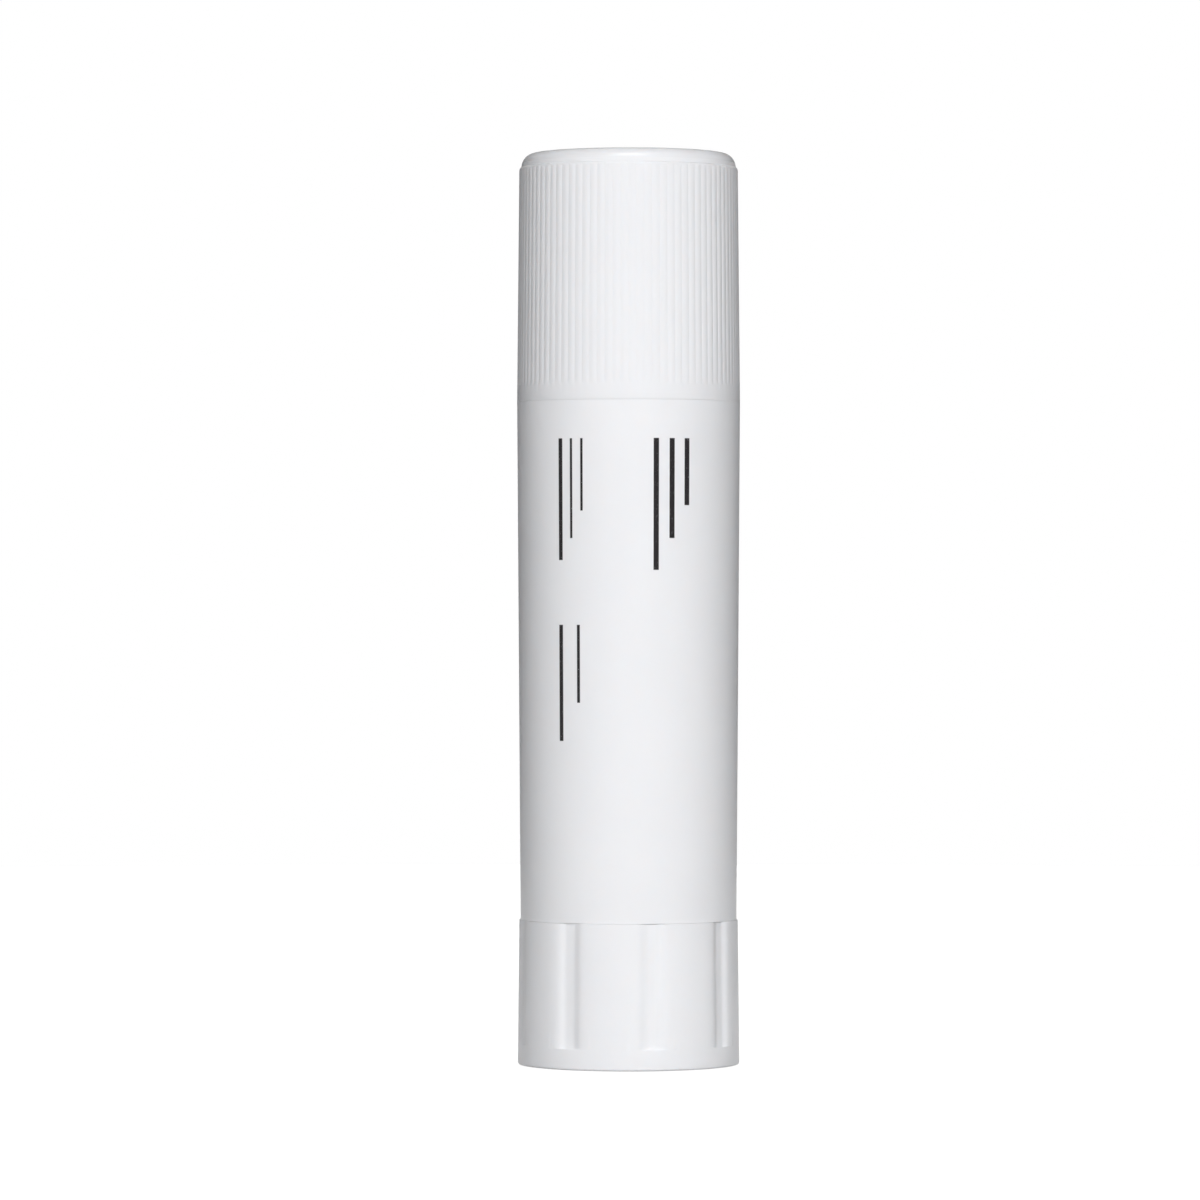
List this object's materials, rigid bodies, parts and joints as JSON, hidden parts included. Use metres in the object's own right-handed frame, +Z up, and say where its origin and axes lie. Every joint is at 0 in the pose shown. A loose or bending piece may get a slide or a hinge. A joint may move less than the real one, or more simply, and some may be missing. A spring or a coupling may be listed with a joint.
{
  "type": "glue stick",
  "caption": "Twist-up glue stick: smooth round barrel, ribbed pull-off cap and a fluted knob at the foot that winds the glue up on a screw.",
  "frame": {"origin": "centre of the face that the stick stands on", "axes": "+Z up the stick's length towards the cap, -Y towards the front"},
  "size_m": [0.0206, 0.0206, 0.0842],
  "materials": {
    "cap_plastic": "satin",
    "inner_cap_plastic": "satin",
    "barrel_plastic": "satin",
    "seal_rubber": "matte",
    "knob_plastic": "satin",
    "screw_plastic": "satin",
    "carrier_plastic": "satin",
    "glue_mass": "satin"
  },
  "bodies": {
    "barrel": {"barrel": "barrel_plastic", "seal_ring": "seal_rubber"},
    "knob": {"twist_knob": "knob_plastic", "screw_spindle": "screw_plastic"},
    "carrier": {"carrier": "carrier_plastic", "glue": "glue_mass"},
    "cap": {"cap_shell": "cap_plastic", "inner_cap": "inner_cap_plastic"}
  },
  "joints": [
    {"name": "knob_turn", "type": "hinge", "parent": "barrel", "child": "knob", "pos_m": [0, 0, 0], "axis": [0, 0, 1], "range_deg": [0, 4896]},
    {"name": "glue_lift", "type": "slide", "parent": "barrel", "child": "carrier", "axis": [0, 0, 1], "range_m": [0, 0.0544]},
    {"name": "cap_pull", "type": "slide", "parent": "carrier", "child": "cap", "axis": [0, 0, 1], "range_m": [0, 0.03]}
  ],
  "couplings": [
    {"joint": "glue_lift", "follows": "knob_turn", "m_per_rad": 0.00063662}
  ]
}
